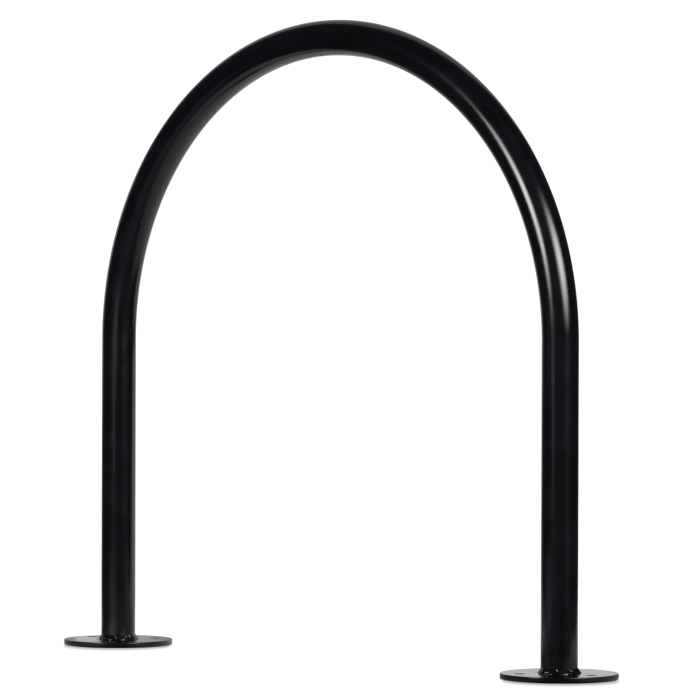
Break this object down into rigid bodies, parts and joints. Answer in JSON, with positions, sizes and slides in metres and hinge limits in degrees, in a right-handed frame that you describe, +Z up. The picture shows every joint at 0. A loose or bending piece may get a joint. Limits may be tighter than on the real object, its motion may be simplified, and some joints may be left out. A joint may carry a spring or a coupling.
{
  "type": "hoop bike rack",
  "caption": "Upside-down U of bent round steel pipe on two round bolt-down foot plates, for leaning and locking a bicycle.",
  "frame": {"origin": "on the ground, at the underside of the foot plates, midway between the two legs", "axes": "+Z up; +X from the left leg to the right leg, in the plane of the hoop; +Y square to the hoop, the way a bicycle wheel passes through it"},
  "size_m": [1.0256, 0.162, 0.9144],
  "materials": {
    "black_powder_coat": "smooth black gloss powder coat over steel, with a faint orange-peel",
    "coated_weld": "the same black powder coat, glossier and lumpy over a hand-laid weld"
  },
  "bodies": {
    "root": {"hoop_tube": "black_powder_coat", "left_foot_plate": "black_powder_coat", "right_foot_plate": "black_powder_coat", "left_weld_bead": "coated_weld", "right_weld_bead": "coated_weld"}
  },
  "joints": []
}
